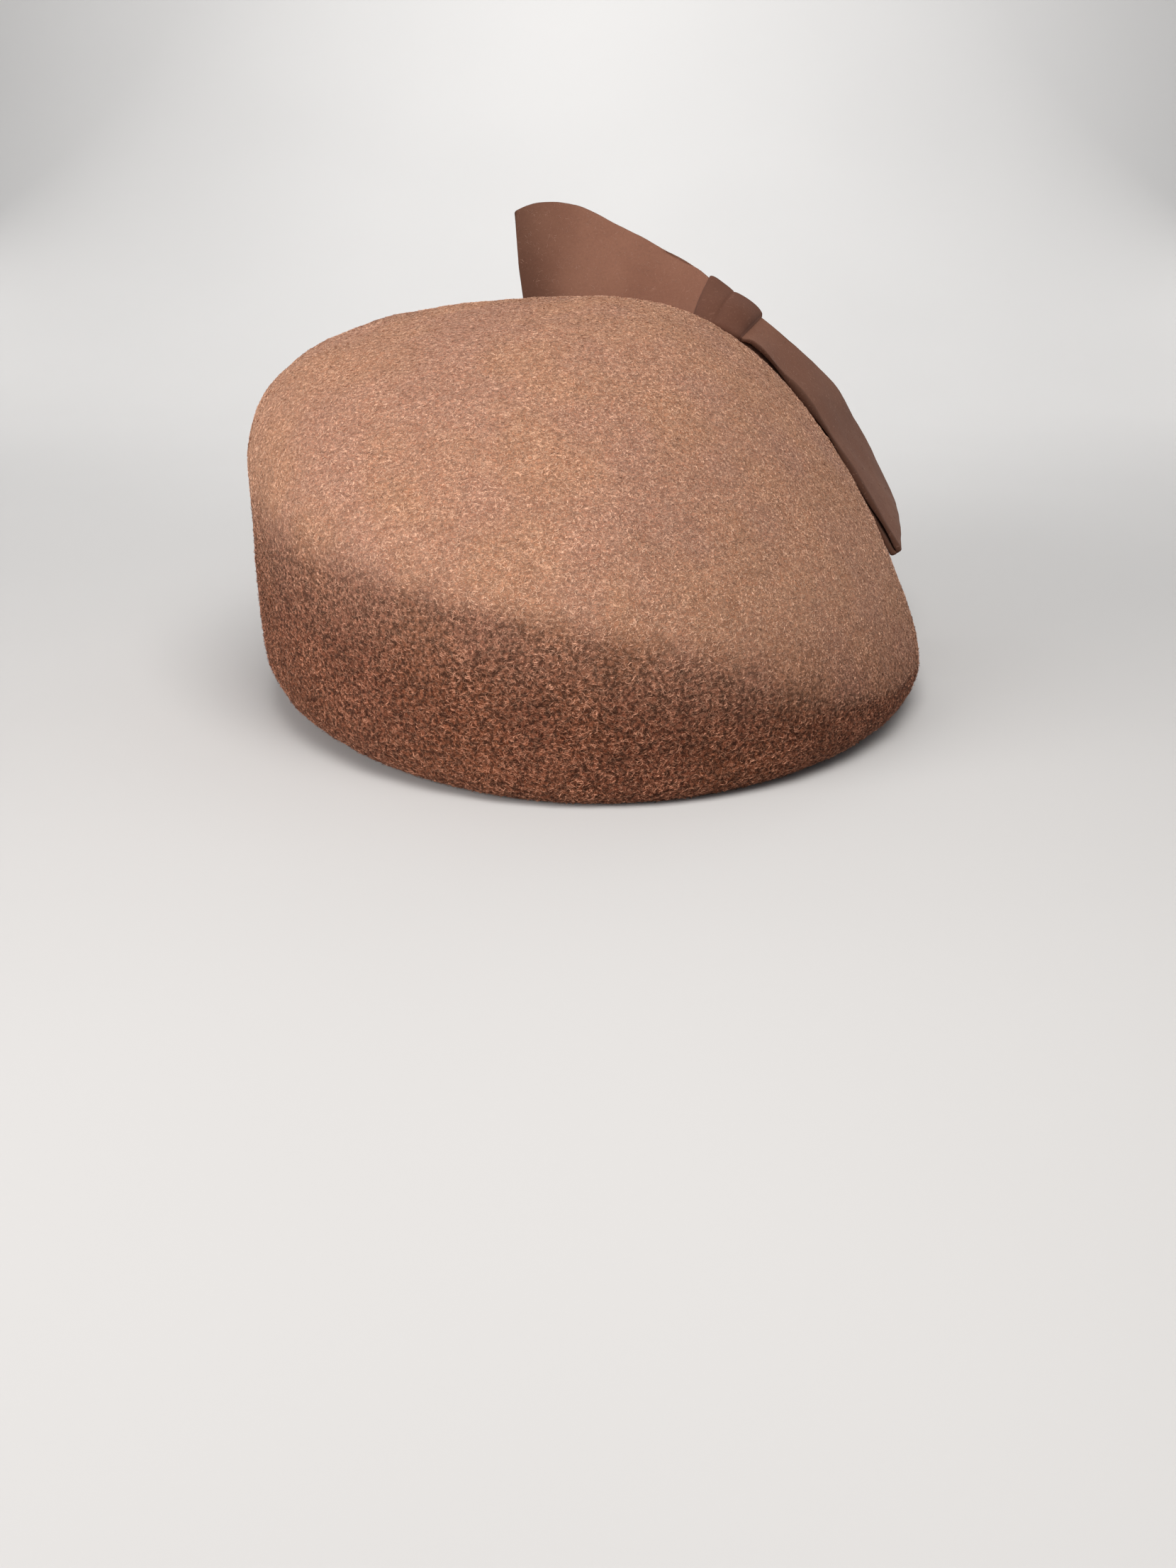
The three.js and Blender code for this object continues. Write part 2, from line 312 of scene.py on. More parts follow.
def buildCrown(shift):
    outer = crownOuter()
    outer[0] = outer[0].mean(0)
    normals = gridNormals(outer)
    normals[0] = [0, 0, 1]
    wave = crown["slowWave"] * waviness(outer, 18 * mm, 45 * mm, 40, 3)
    wave = wave + crown["quickWave"] * waviness(outer, 5 * mm, 11 * mm, 60, 4)
    level = smoothStep(outer[..., 2], 0, crown["levelHeight"])  # the felt that it rests on stays flat
    outer = outer + normals * (wave * level)[..., None]
    normals = gridNormals(outer)
    normals[0] = [0, 0, 1]
    normals[-crown["underRows"]:] = [0, 0, -1]
    # the felt's cut edge at the opening: half a circle from the outer face to the inner one
    turn = np.linspace(0, np.pi, crown["rimRows"] + 1)[1:-1, None, None]
    inward = unit(outer[-1:] - outer[-2:-1])
    middle = outer[-1:] + np.array([0, 0, crown["felt"] / 2])
    rim = middle + inward * np.sin(turn) * crown["felt"] / 2
    rim = rim + np.array([0, 0, -1]) * np.cos(turn) * crown["felt"] / 2
    inner = (outer - normals * crown["felt"])[::-1][::crown["innerEvery"]]
    top = outer[:1, 0]
    roof = top - [0, 0, crown["felt"]]
    grid = np.concatenate([outer[1:], rim, inner[:-1]])
    rows, columns = grid.shape[:2]
    points = np.concatenate([grid.reshape(-1, 3), top, roof]) + shift
    place = np.arange(columns)
    beside = (place + 1) % columns
    last = (rows - 1) * columns
    cap = np.stack([place, beside, 0 * place + len(points) - 2], axis=-1)
    ceiling = np.stack([last + beside, last + place, 0 * place + len(points) - 1], axis=-1)
    # the side's painted shade, a darker and redder colour, starts just inside the tip's edge and is
    # full by the wall's lower part
    below = np.arange(len(outer)) - crown["tipRows"]
    sides = smoothStep(below, crown["sideFrom"] * crown["tipRows"], crown["sideTo"] * crown["wallRows"])
    side = np.concatenate([sides[1:], np.ones(rows - len(outer) + 1)])
    shadedSideShare = np.concatenate([np.repeat(side, columns), [0, 1]])
    piece = addMesh("crown_felt", points, gridFaces(rows, columns),
                    np.concatenate([cap, ceiling]), {"shadedSideShare": shadedSideShare})
    return piece, outer + shift, normals, sides


# Fuzz: loose wool fibres that lie on the felt as narrow bent ribbons, some with an end standing out
def dots(first, second):
    return (first * second).sum(-1)


def inTangents(along, down, first, second):
    # two steps across a cell, written as amounts of its two tangents
    rows = [np.stack([dots(along, tangent), dots(down, tangent)], -1) for tangent in (first, second)]
    return np.stack(rows, -2)


def surfaceFrames(grid, normals, cells, along, down):
    # point, normal, tangents and how the normal turns along them, inside each chosen cell
    rows, columns = grid.shape[:2]
    row, column = np.divmod(cells, columns)
    beside = (column + 1) % columns
    below = (row + 1) % rows
    a, b = along[:, None], down[:, None]
    p00, p01 = grid[row, column], grid[row, beside]
    p10, p11 = grid[below, column], grid[below, beside]
    n00, n01 = normals[row, column], normals[row, beside]
    n10, n11 = normals[below, column], normals[below, beside]
    point = (p00 * (1 - a) + p01 * a) * (1 - b) + (p10 * (1 - a) + p11 * a) * b
    normal = unit((n00 * (1 - a) + n01 * a) * (1 - b) + (n10 * (1 - a) + n11 * a) * b)
    pU = (p01 - p00) * (1 - b) + (p11 - p10) * b
    pV = (p10 - p00) * (1 - a) + (p11 - p01) * a
    nU = (n01 - n00) * (1 - b) + (n11 - n10) * b
    nV = (n10 - n00) * (1 - a) + (n11 - n01) * a
    first = unit(pU - (pU * normal).sum(-1, keepdims=True) * normal)
    second = np.cross(normal, first)
    bends = inTangents(nU, nV, first, second) @ np.linalg.pinv(inTangents(pU, pV, first, second))
    return point, normal, first, second, bends


def buildFuzz(name, grid, normals, weights, sides, fuzz, seed):
    # each fibre is a ribbon in three lengths, pointed at both ends, along a curling line in the
    # surface, and an arch lifts it off the surface
    rng = np.random.default_rng(seed)
    rows, columns = grid.shape[:2]
    around = np.roll(grid, -1, axis=1)[:-1] - grid[:-1]
    area = np.linalg.norm(np.cross(around, grid[1:] - grid[:-1]), axis=-1) * weights[:, None]
    count = fuzz["count"]
    cells = rng.choice(area.size, count, p=(area / area.sum()).ravel())
    frames = surfaceFrames(grid, normals, cells, rng.random(count), rng.random(count))
    point, normal, first, second, bends = frames
    steps = 4
    side = sides[cells // columns]
    grown = fuzz["topLength"] + (1 - fuzz["topLength"]) * side
    raised = fuzz["topRaised"] + (1 - fuzz["topRaised"]) * side
    length = rng.uniform(*fuzz["length"], count) * grown
    spread = fuzz["spreadTop"] + (fuzz["spreadSide"] - fuzz["spreadTop"]) * side
    heading = (rng.normal(0, 1, count) * spread + np.pi * rng.integers(0, 2, count))[:, None]
    curl = rng.normal(0, fuzz["curl"], count)[:, None]
    wriggle = rng.normal(0, fuzz["wriggle"], (count, steps - 1))
    bearing = heading + curl * np.linspace(-0.5, 0.5, steps - 1) + wriggle
    stride = (length / (steps - 1))[:, None]
    start = np.zeros((count, 1))
    lineA = np.concatenate([start, np.cumsum(np.cos(bearing) * stride, axis=1)], axis=1)
    lineB = np.concatenate([start, np.cumsum(np.sin(bearing) * stride, axis=1)], axis=1)
    lineA -= lineA.mean(1, keepdims=True)
    lineB -= lineB.mean(1, keepdims=True)
    along = np.linspace(0, 1, steps)[None, :]
    arch = rng.uniform(*fuzz["arch"], count) * raised
    arch = arch[:, None] * np.sin(np.pi * along)
    standing = (rng.random(count) < fuzz["standingShare"])[:, None]
    lifted = (rng.uniform(*fuzz["standing"], count) * raised)[:, None] * along ** 2
    height = fuzz["lift"] + arch + np.where(standing, lifted, 0)
    # how far the surface falls away from its tangent plane under the line
    fall = 0.5 * (bends[:, 0, 0, None] * lineA ** 2 + bends[:, 1, 1, None] * lineB ** 2
                  + (bends[:, 0, 1] + bends[:, 1, 0])[:, None] * lineA * lineB)
    height = height - np.clip(fall, -length[:, None] / 2, length[:, None] / 2)
    line = (point[:, None] + first[:, None] * lineA[..., None] + second[:, None] * lineB[..., None]
            + normal[:, None] * height[..., None])
    ahead = np.gradient(line, axis=1)
    sideways = unit(np.cross(normal[:, None], ahead))
    sideways = sideways * np.where(sideways[:, 1:2, 2:] < 0, -1, 1)
    tilt = rng.uniform(*fuzz["tilt"], count)[:, None, None]  # most ribbons look a little upwards
    broad = sideways * np.cos(tilt) - normal[:, None] * np.sin(tilt)
    half = rng.uniform(*fuzz["width"], count)[:, None] / 2
    near = broad[:, 1] * half
    far = broad[:, 2] * half
    points = np.stack([line[:, 0], line[:, 1] - near, line[:, 1] + near,
                       line[:, 2] - far, line[:, 2] + far, line[:, 3]], axis=1)
    # none reaches into what the hat lies on
    points[..., 2] = np.maximum(points[..., 2], fuzz["floorGap"])
    base = (np.arange(count) * 6)[:, None]
    quads = base + np.array([1, 3, 4, 2])
    ends = np.concatenate([base + np.array([0, 1, 2]), base + np.array([3, 5, 4])])
    low, high = fuzz["shades"]
    shade = np.repeat(rng.uniform(low, high, count), 6)
    return addMesh(name, points.reshape(-1, 3), quads, ends,
                   {"fibreShade": shade, "shadedSideShare": np.repeat(side, 6)})


crownFuzz = {
    "pieces": 4,
    "count": 47000,
    "length": (0.8 * mm, 2.6 * mm),
    "topLength": 0.65,
    "topRaised": 0.3,
    "floorGap": 0.02 * mm,
    "width": (0.12 * mm, 0.21 * mm),
    "curl": 1.9,
    "wriggle": 0.45,
    "shades": (0.1, 1.0),
    "spreadTop": 1.7,
    "spreadSide": 0.65,
    "arch": (0.05 * mm, 0.28 * mm),
    "lift": 0.03 * mm,
    "standing": (0.15 * mm, 0.9 * mm),
    "standingShare": 0.2,
    "tilt": (-0.35, 0.95),
}

bowFuzz = {
    "count": 5200,
    "length": (0.8 * mm, 2.2 * mm),
    "topLength": 1.0,
    "topRaised": 0.3,
    "floorGap": 0.02 * mm,
    "width": (0.05 * mm, 0.11 * mm),
    "curl": 1.2,
    "wriggle": 0.3,
    "shades": (0.2, 0.9),
    "spreadTop": 1.7,
    "spreadSide": 1.7,
    "arch": (0.02 * mm, 0.12 * mm),
    "lift": 0.015 * mm,
    "standing": (0.1 * mm, 0.5 * mm),
    "standingShare": 0.12,
    "tilt": (-0.8, 0.8),
}


# Bow: a band folded into two flattened loops, pinched by the knot
bow = {
    "felt": 1.6 * mm,
    "width": 46 * mm,
    "spread": 105,
    "loopHalfLength": 92 * mm,
    "loopOpening": 2.6 * mm,
    "loopGap": 0.4 * mm,
    "loopBelly": 1.0 * mm,
    "pinchShare": 0.8,
    "edgeRound": 0.55 * mm,
    "cornerRound": 3 * mm,
    "tuck": 3.2 * mm,
    "crevice": 1.8 * mm,
    # painted shade on the bow: the darkest factor, then how much of it the lower loop, the upper fold
    # and the lower cut edge get
    "darkestPaintedShade": 0.45,
    "lowerLoopShade": 0.42,
    "upperFoldShade": 0.82,
    "cutEdgeShade": 0.55,
    "loopSteps": 120,
    "foldSteps": 14,
    "acrossSteps": 22,
    "edgeSteps": 4,
    "slowWave": 0.3 * mm,
    "quickWave": 0.03 * mm,
}

knot = {
    "turn": 48,
    "length": 25 * mm,
    "felt": 2 * mm,
    "bulge": 1.5 * mm,
    "creaseShare": 0.6,
    "creasePower": 0.5,
    "endPower": 8,
    "gap": 0.3 * mm,
    "rows": 56,
    "cornerSteps": 7,
    "sideSteps": 22,
}

# stations along the bow from the upper loop's end to the lower one's: place round the crown as a
# share of the spread, place on the tip, lift and width as shares, and two angles in degrees
bowStations = np.array([
    [0.55, 0.745, 0.62, 1.06, 83, -95],
    [0.445, 0.63, 0.61, 0.96, 75, -14],
    [0.205, 0.62, 0.635, 0.66, 68, 25],
    [0.005, 0.575, 0.59, 0.39, 31, 30],
    [-0.135, 0.7, 0.52, 0.5, 10, 32],
    [-0.245, 0.87, 0.59, 0.89, 9, 16.5],
    [-0.375, 0.95, 1.1, 1.08, 9, 9],
])


def stationValues(along):
    last = len(bowStations) - 1
    place = np.clip((along + 1) / 2, 0, 1) * last
    index = np.minimum(np.floor(place).astype(int), last - 1)
    t = (place - index)[..., None]
    before = 2 * bowStations[:1] - bowStations[1:2]
    after = 2 * bowStations[-1:] - bowStations[-2:-1]
    lined = np.concatenate([before, bowStations, after])  # runs straight on past both ends
    near = [lined[index + step] for step in (0, 1, 2, 3)]
    return cubicThrough(*near, t)


def bowFront(along):
    values = stationValues(along)
    angle = np.radians(knot["turn"] + values[..., 0] * bow["spread"])
    reach = values[..., 1]
    lift = values[..., 2] * bow["loopOpening"] + bow["felt"]
    return crownPoint(angle, reach) + crownNormal(angle, reach) * lift[..., None]


def bowPoint(along, share, offset):
    # the front edge's place on the crown, then across the band, then out along its face
    values = stationValues(along)
    lean = np.radians(values[..., 4])
    splay = np.radians(values[..., 5])
    level = np.cos(lean)
    across = np.stack([np.sin(splay) * level, np.cos(splay) * level, np.sin(lean)], axis=-1)
    ahead = bowFront(np.minimum(along + 0.01, 1)) - bowFront(np.maximum(along - 0.01, -1))
    face = unit(np.cross(ahead, across))
    width = values[..., 3] * bow["width"]
    return bowFront(along) + across * (share * width)[..., None] + face * offset[..., None]


def halfOpening(distance):
    # half the distance between the loop's two layers: pinched by the knot, then eased open
    pinched = (bow["felt"] + bow["loopGap"]) / 2
    flatEnd = bow["loopHalfLength"] - bow["loopOpening"] / 2
    opened = smoothStep(np.abs(distance), knot["length"] / 2, flatEnd * bow["pinchShare"])
    return pinched + (bow["loopOpening"] / 2 - pinched) * opened


def loopOutline():
    # the band's middle line seen from its edge: along the upper layer, round a fold and back
    radius = bow["loopOpening"] / 2
    flatEnd = bow["loopHalfLength"] - radius
    run = np.linspace(-flatEnd, flatEnd, bow["loopSteps"] + 1)
    angle = np.pi / 2 - np.arange(1, bow["foldSteps"]) / bow["foldSteps"] * np.pi
    fold = np.stack([flatEnd + radius * np.cos(angle), radius * np.sin(angle)], axis=-1)
    upper = np.stack([run, halfOpening(run)], axis=-1)
    return np.concatenate([upper, fold, -upper, -fold])


def bandSection():
    # the felt's section: share across the band and offset through it, with its edges rounded
    radius = bow["edgeRound"]
    halfFelt = bow["felt"] / 2
    halfWidth = bow["width"] / 2
    run = np.linspace(-1, 1, bow["acrossSteps"] + 1) * (halfWidth - radius)
    angle = np.arange(1, bow["edgeSteps"] * 2) / (bow["edgeSteps"] * 2) * np.pi
    edgeX = halfWidth - radius + radius * np.sin(angle)
    edgeY = halfFelt * np.sign(np.cos(angle)) * np.abs(np.cos(angle)) ** 0.7
    outer = np.stack([run, run * 0 + halfFelt], axis=-1)
    far = np.stack([edgeX, edgeY], axis=-1)
    return np.concatenate([outer, far, -outer, -far])


def buildLoops(shift):
    outline = loopOutline()
    ahead = unit(np.roll(outline, -1, axis=0) - np.roll(outline, 1, axis=0))
    outward = np.stack([-ahead[:, 1], ahead[:, 0]], axis=-1)
    section = bandSection()
    share = 0.5 + section[None, :, 0] / bow["width"] + 0 * outline[:, :1]
    place = outline[:, None] + outward[:, None] * section[None, :, 1, None]
    # the band's corners are rounded where each loop folds
    fromEnd = np.clip(bow["loopHalfLength"] - np.abs(place[..., 0]), 0, bow["cornerRound"])
    kept = np.sqrt(bow["cornerRound"] ** 2 - (bow["cornerRound"] - fromEnd) ** 2)
    share = 0.5 + (share - 0.5) * (1 - 2 * (bow["cornerRound"] - kept) / bow["width"])
    under = smoothStep(-outline[:, 1:], -bow["loopOpening"] / 2, bow["loopOpening"] / 2)
    along = place[..., 0] / bow["loopHalfLength"]
    width = stationValues(along)[..., 3] * bow["width"]
    share = share * (1 - under * bow["tuck"] / width)  # the layer beneath lies a little lower
    opened = smoothStep(np.abs(place[..., 0]), knot["length"] / 2, bow["loopHalfLength"])
    belly = bow["loopBelly"] * opened * np.maximum(1 - (2 * share - 1) ** 2, 0)
    # beside the knot the lower loop's upper layer stands off at its near edge, over a dark crevice
    crevice = smoothStep(along, 0.14, 0.18) * (1 - smoothStep(along, 0.21, 0.36))
    crevice = bow["crevice"] * crevice * (1 - under) * np.clip(1 - share, 0, 1) ** 3
    grid = bowPoint(along, share, place[..., 1] + belly + crevice)
    wave = bow["slowWave"] * waviness(grid, 16 * mm, 40 * mm, 30, 7)
    wave = wave + bow["quickWave"] * waviness(grid, 4 * mm, 9 * mm, 50, 8)
    normals = gridNormals(grid, roundRows=True)
    middle = smoothStep(np.abs(place[..., 0]), knot["length"] / 2, knot["length"])
    grid = grid + normals * (wave * middle)[..., None]
    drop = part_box("bow_loops")[1][2] - grid[..., 2].max()  # as high as the plain loops
    grid = grid + shift + np.array([0, 0, drop])
    # painted shade: darker on the lower loop, on the upper loop's fold and most of all along the lower
    # loop's cut edge beside the crown
    lower = smoothStep(along, -0.3, 0.5)
    upperFold = smoothStep(-along, 0.4, 1.0)
    nearEdge = 1 - smoothStep(share, 0.0, 0.05)
    shade = bow["lowerLoopShade"] * lower + bow["upperFoldShade"] * upperFold + bow["cutEdgeShade"] * lower * nearEdge
    faces = gridFaces(*grid.shape[:2], roundRows=True)
    piece = addMesh("bow_loops_felt", grid.reshape(-1, 3), faces,
                    attributes={"paintedShadeShare": np.clip(shade, 0, 1)})
    return piece, grid, gridNormals(grid, roundRows=True), drop


def ringSection(halfWidth, halfDepth, radius, bulge):
    # round a rounded rectangle: four corner arcs and the sides between, the broad sides swollen
    parts = []
    corners = np.array([[1, 1], [-1, 1], [-1, -1], [1, -1]])
    for index, corner in enumerate(corners):
        centre = np.stack([corner[0] * halfWidth, corner[1] * halfDepth], axis=-1)
        following = corners[(index + 1) % 4]
        nextCentre = np.stack([following[0] * halfWidth, following[1] * halfDepth], axis=-1)
        angle = (index + np.linspace(0, 1, knot["cornerSteps"] + 1)) * np.pi / 2
        arc = np.stack([np.cos(angle), np.sin(angle)], axis=-1)
        parts.append(centre[:, None] + arc[None] * radius[:, None, None])
        away = (corner + following) / 2  # the side between two corners faces their middle
        share = np.arange(1, knot["sideSteps"]) / knot["sideSteps"]
        swell = bulge[:, None] * np.sin(share * np.pi)[None] * abs(away[1])
        side = centre[:, None] + (nextCentre - centre)[:, None] * share[None, :, None]
        parts.append(side + away * (radius[:, None] + swell)[..., None])
    return np.concatenate(parts, axis=1)


def buildKnot(shift, drop):
    share = np.linspace(0, 1, knot["rows"] + 1)
    along = (share * 2 - 1) * knot["length"] / 2 / bow["loopHalfLength"]
    halfDepth = halfOpening(along * bow["loopHalfLength"]) + bow["felt"] / 2
    width = stationValues(along)[:, 3] * bow["width"]
    folds = np.abs(np.sin(share * 2 * np.pi)) ** knot["creasePower"]
    ends = np.sqrt(1 - np.abs(2 * share - 1) ** knot["endPower"])
    swell = knot["creaseShare"] + (1 - knot["creaseShare"]) * folds
    outer = ringSection(width / 2, halfDepth, knot["gap"] + knot["felt"] * swell * ends,
                        knot["bulge"] * swell * ends)
    inner = ringSection(width / 2, halfDepth, 0 * share + knot["gap"], 0 * share)
    section = np.concatenate([outer, inner[::-1]])
    rows = np.concatenate([along, along[::-1]])[:, None] + 0 * section[..., 0]
    across = 0.5 + section[..., 0] / np.concatenate([width, width[::-1]])[:, None]
    grid = bowPoint(rows, across, section[..., 1]) + shift + np.array([0, 0, drop])
    # its rows go out over the ring and back inside it, so its quads are turned to face outwards
    faces = gridFaces(*grid.shape[:2], roundRows=True)[:, ::-1]
    return addMesh("bow_knot_felt", grid.reshape(-1, 3), faces)


# Finishes
def clumped(tree, side, colour):
    # tufts about a millimetre across, lighter and darker, stronger on the side than on the top
    clump = ranged(tree, noise(tree, 850, 2, 0.6), 0.36, 0.64, 0.4, 1.55)
    return mixColours(tree, ranged(tree, side, 0, 1, 0.3, 0.95), colour, clump, "MULTIPLY")


def feltBody():
    # pressed wool: pale bundles of fibre that wander over dark gaps, with slow heathered patches;
    # painted shade makes the side's gaps and bundles darker and redder than the top's
    material, tree, shader = newMaterial("crownFeltBody")
    side = attributeValue(tree, "shadedSideShare")
    patch = ranged(tree, noise(tree, 34, 2), 0.36, 0.64)
    mottle = ranged(tree, noise(tree, 190, 3, 0.55, 0.8), 0.35, 0.7)
    coarse = strands(tree, 520, (1, 1, 1.9), 0.055)
    fine = strands(tree, 900, (1.2, 1, 1.7), 0.06)
    thread = maths(tree, "MAXIMUM", coarse, fine)
    grain = noise(tree, 2300, 2, 0.6)
    cover = maths(tree, "MULTIPLY", thread, 0.7)
    cover = maths(tree, "ADD", cover, maths(tree, "MULTIPLY", mottle, 0.14))
    cover = maths(tree, "ADD", cover, ranged(tree, grain, 0.35, 0.75, 0.0, 0.24))
    # painted shade: each colour's second value is the top's felt painted darker and redder for the side
    gap = mixColours(tree, side, (0.33, 0.15, 0.088, 1), (0.066, 0.0145, 0.005, 1))
    pale = mixColours(tree, side, (0.63, 0.37, 0.25, 1), (0.36, 0.137, 0.074, 1))
    colour = mixColours(tree, cover, gap, pale)
    tint = mixColours(tree, patch, (1.02, 1.0, 0.95, 1), (0.98, 0.97, 1.02, 1))
    colour = mixColours(tree, 1.0, colour, tint, "MULTIPLY")
    colour = clumped(tree, side, colour)
    tree.links.new(colour, shader.inputs["Base Color"])
    height = maths(tree, "MULTIPLY", thread, 0.8)
    height = maths(tree, "ADD", height, maths(tree, "MULTIPLY", grain, 0.9))
    height = maths(tree, "ADD", height, maths(tree, "MULTIPLY", mottle, 0.5))
    tree.links.new(bump(tree, height, 0.3 * mm), shader.inputs["Normal"])
    shader.inputs["Roughness"].default_value = 0.95
    shader.inputs["Specular IOR Level"].default_value = 0.05
    shader.inputs["Sheen Weight"].default_value = 0.04
    shader.inputs["Sheen Roughness"].default_value = 0.6
    shader.inputs["Sheen Tint"].default_value = (1.0, 0.82, 0.72, 1)
    return material


def looseFibre(name, dark, pale, darkShadedSide, paleShadedSide, sheen):
    # one colour for each fibre, from dark to pale, each of them painted redder and darker on the side
    # as painted shade
    material, tree, shader = newMaterial(name)
    shade = attributeValue(tree, "fibreShade")
    side = attributeValue(tree, "shadedSideShare")
    patch = ranged(tree, noise(tree, 60, 2), 0.35, 0.65, 0.85, 1.08)
    colour = mixColours(tree, shade, mixColours(tree, side, dark, darkShadedSide),
                        mixColours(tree, side, pale, paleShadedSide))
    colour = clumped(tree, side, colour)
    colour = mixColours(tree, 1.0, colour, patch, "MULTIPLY")
    tree.links.new(colour, shader.inputs["Base Color"])
    shader.inputs["Roughness"].default_value = 0.8
    shader.inputs["Specular IOR Level"].default_value = 0.1
    shader.inputs["Sheen Weight"].default_value = sheen
    shader.inputs["Sheen Roughness"].default_value = 0.5
    shader.inputs["Sheen Tint"].default_value = (1.0, 0.85, 0.76, 1)
    return material


def denseFelt(name, low, high):
    # smooth pressed felt: a close grain with faint patches and pale flecks, darkened by painted shade
    # from its attribute
    material, tree, shader = newMaterial(name)
    patch = ranged(tree, noise(tree, 45, 2), 0.35, 0.65)
    grain = noise(tree, 1300, 3, 0.65, 0.4)
    fleck = ranged(tree, noise(tree, 620, 2, 0.5, 1.5), 0.6, 0.72)
    colour = mixColours(tree, patch, low, high)
    colour = mixColours(tree, maths(tree, "MULTIPLY", fleck, 0.12), colour, (0.36, 0.20, 0.145, 1))
    colour = mixColours(tree, 1.0, colour, ranged(tree, grain, 0.3, 0.7, 0.94, 1.04), "MULTIPLY")
    # painted shade: darker where the attribute is higher
    shadeFactor = ranged(tree, attributeValue(tree, "paintedShadeShare"), 0.0, 1.0, 1.0, bow["darkestPaintedShade"])
    colour = mixColours(tree, 1.0, colour, shadeFactor, "MULTIPLY")
    tree.links.new(colour, shader.inputs["Base Color"])
    tree.links.new(bump(tree, grain, 0.07 * mm), shader.inputs["Normal"])
    shader.inputs["Roughness"].default_value = 0.92
    shader.inputs["Specular IOR Level"].default_value = 0.06
    shader.inputs["Sheen Weight"].default_value = 0.04
    shader.inputs["Sheen Roughness"].default_value = 0.55
    shader.inputs["Sheen Tint"].default_value = (1.0, 0.86, 0.8, 1)
    return material


# Camera, at the height and pitch of the photograph
camera = {"behind": 459.5 * mm, "aside": -1.5 * mm, "height": 150 * mm, "pitch": 66.93, "lens": 30.0}
crownLow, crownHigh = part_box("crown")
centre = np.array([crownLow[0] + crown["halfWidth"], crownHigh[1] - crown["back"], 0.0])
lensData = bpy.data.cameras.new("photoLens")
lensData.sensor_width = 36
lensData.lens = camera["lens"]
lensData.clip_start = 0.01
lensHolder = bpy.data.objects.new("photoCamera", lensData)
lensHolder.location = (centre[0] + camera["aside"], centre[1] - camera["behind"], camera["height"])
lensHolder.rotation_euler = (math.radians(camera["pitch"]), 0, 0)
bpy.context.scene.collection.objects.link(lensHolder)
bpy.context.scene.camera = lensHolder
print("camera placed")

crownPiece, crownGrid, crownNormals, crownSide = buildCrown(centre)
crownPiece.data.materials.append(feltBody())
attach(crownPiece, "root")
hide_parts("crown")
print("crown built", len(crownPiece.data.polygons), "faces")

# the last two colours paint shade on the side: the same fibres darker and redder
fibreMaterial = looseFibre("crownFibre", (0.39, 0.19, 0.115, 1), (0.69, 0.425, 0.295, 1),
                           (0.10, 0.027, 0.011, 1), (0.42, 0.195, 0.12, 1), 0.04)
rowWeights = np.ones(len(crownGrid) - 1)
wallEnd = crown["tipRows"] + crown["wallRows"] + crown["turnRows"]
rowWeights[: crown["tipRows"]] = crown["fuzzOnTip"]
rowWeights[crown["tipRows"]: wallEnd] = crown["fuzzOnWall"]
rowWeights[-crown["underRows"]:] = crown["fuzzUnder"]
rowWeights[:2] = 0  # the smallest cells, round the top's middle
for part in range(crownFuzz["pieces"]):
    fuzzPiece = buildFuzz("crown_fuzz_" + "abcd"[part], crownGrid, crownNormals, rowWeights, crownSide,
                          crownFuzz, 20 + part)
    fuzzPiece.data.materials.append(fibreMaterial)
    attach(fuzzPiece, "root")
print("crown fuzz laid")

loopsPiece, loopsGrid, loopsNormals, drop = buildLoops(centre)
bowFelt = denseFelt("bowFelt", (0.187, 0.087, 0.058, 1), (0.213, 0.102, 0.068, 1))
loopsPiece.data.materials.append(bowFelt)
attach(loopsPiece, "root")
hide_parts("bow_loops")

knotPiece = buildKnot(centre, drop)
# the knot is the bow's felt painted darker, as painted shade
shadedKnotFelt = denseFelt("shadedKnotFelt", (0.108, 0.047, 0.031, 1), (0.126, 0.057, 0.039, 1))
knotPiece.data.materials.append(shadedKnotFelt)
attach(knotPiece, "root")
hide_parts("bow_knot")

bowFibre = looseFibre("bowFibre", (0.17, 0.08, 0.055, 1), (0.34, 0.20, 0.15, 1),
                      (0.17, 0.08, 0.055, 1), (0.34, 0.20, 0.15, 1), 0.1)
bowFuzzPiece = buildFuzz("bow_fuzz", loopsGrid, loopsNormals, np.ones(len(loopsGrid) - 1),
                         np.zeros(len(loopsGrid)), bowFuzz, 41)
bowFuzzPiece.data.materials.append(bowFibre)
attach(bowFuzzPiece, "root")
print("bow built")

# Floor and light
stage = {"half": 2.2, "wallAt": 1.3, "bend": 0.6, "wallHeight": 1.8, "colour": (0.56, 0.555, 0.55, 1)}


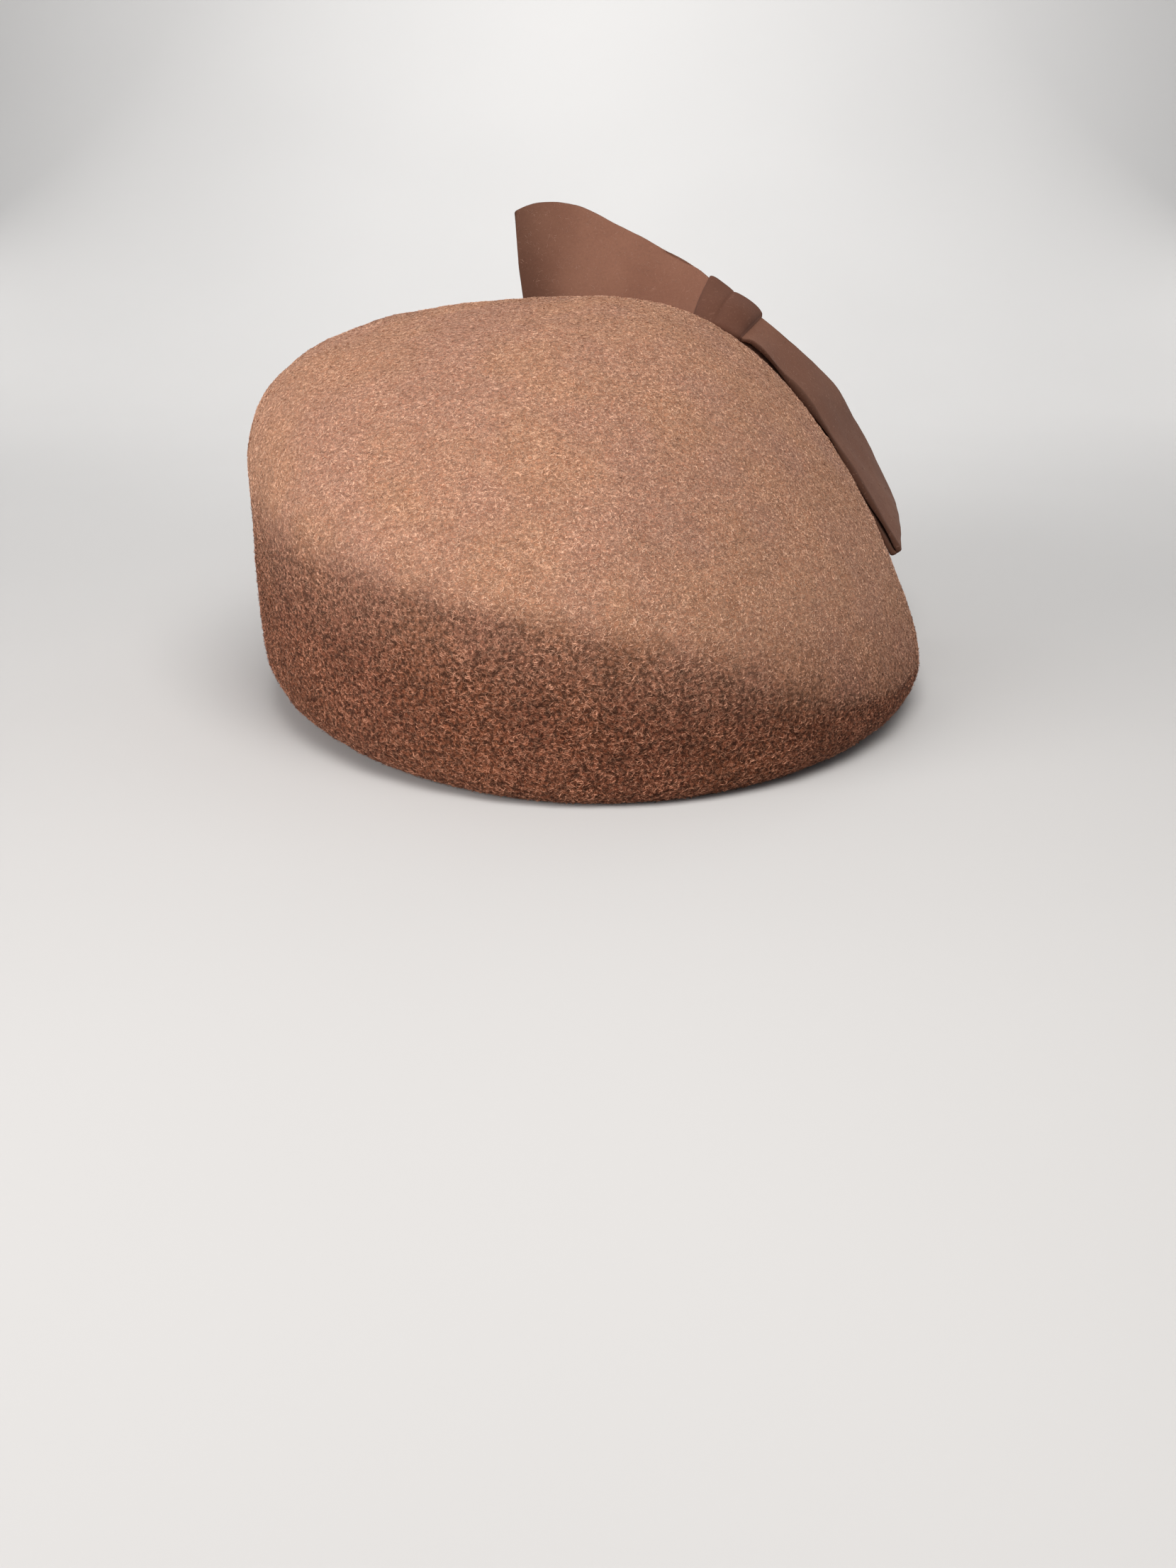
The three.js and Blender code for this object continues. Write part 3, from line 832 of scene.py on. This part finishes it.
def buildStage():
    # a level floor whose back curves up into a wall: a profile in y and z, carried along x
    bend = np.linspace(0, np.pi / 2, 33)
    floorY = np.array([-stage["half"], stage["wallAt"] - stage["bend"]])
    curveY = stage["wallAt"] - stage["bend"] + stage["bend"] * np.sin(bend)
    curveZ = stage["bend"] * (1 - np.cos(bend))
    y = np.concatenate([floorY[:1], curveY, [stage["wallAt"]]])
    z = np.concatenate([[0], curveZ, [stage["wallHeight"]]])
    x = np.array([-stage["half"], stage["half"]])
    points = np.stack([np.repeat(x[None], len(y), 0), np.repeat(y[:, None], 2, 1),
                       np.repeat(z[:, None], 2, 1)], axis=-1).reshape(-1, 3)
    row = np.arange(len(y) - 1)[:, None] * 2
    return addMesh("paleFloor", points, (row + np.array([0, 1, 3, 2])).reshape(-1, 4))


floorPiece = buildStage()
floorMaterial, floorTree, floorShader = newMaterial("paleFloorPaint")
floorShade = ranged(floorTree, noise(floorTree, 3, 2), 0.3, 0.7, 0.97, 1.0)
floorTree.links.new(mixColours(floorTree, 1.0, stage["colour"], floorShade, "MULTIPLY"),
                    floorShader.inputs["Base Color"])
floorShader.inputs["Roughness"].default_value = 0.85
floorShader.inputs["Specular IOR Level"].default_value = 0.2
floorPiece.data.materials.append(floorMaterial)

lamps = [
    # name, place, aimed at, side length, watts, colour
    ("keyLight", (0.05, -0.3, 0.53), (0, 0, 0.06), 0.35, 2.9, (1.0, 0.97, 0.94)),
    ("sideLight", (-0.6, -0.5, 0.27), (0, 0, 0.06), 0.5, 4.7, (1.0, 0.97, 0.95)),
    ("backLightLeft", (-0.9, 0.8, 0.3), (0, 0, 0.06), 0.6, 2.2, (1.0, 0.98, 0.96)),
    ("backLightRight", (0.9, 0.8, 0.3), (0, 0, 0.06), 0.6, 2.2, (1.0, 0.98, 0.96)),
    ("backdropLight", (0, 0.55, 0.9), (0, 1.3, 0.3), 0.6, 9, (1.0, 0.99, 0.98)),
]


def addLamp(name, place, aim, size, watts, colour):
    data = bpy.data.lights.new(name, "AREA")
    data.shape = "SQUARE"
    data.size = size
    data.energy = watts
    data.color = colour
    lamp = bpy.data.objects.new(name, data)
    lamp.location = place
    lamp.visible_camera = False
    away = np.array(place) - np.array(aim)
    pitch = math.atan2(math.hypot(away[0], away[1]), away[2])
    lamp.rotation_euler = (pitch, 0, math.atan2(away[0], -away[1]))
    bpy.context.scene.collection.objects.link(lamp)


for lamp in lamps:
    addLamp(*lamp)

world = bpy.data.worlds.new("softRoom")
world.use_nodes = True
world.node_tree.nodes["Background"].inputs["Color"].default_value = (0.95, 0.97, 1.0, 1)
world.node_tree.nodes["Background"].inputs["Strength"].default_value = 0.3
bpy.context.scene.world = world
bpy.context.scene.view_settings.view_transform = "Standard"
print("stage and lights set")
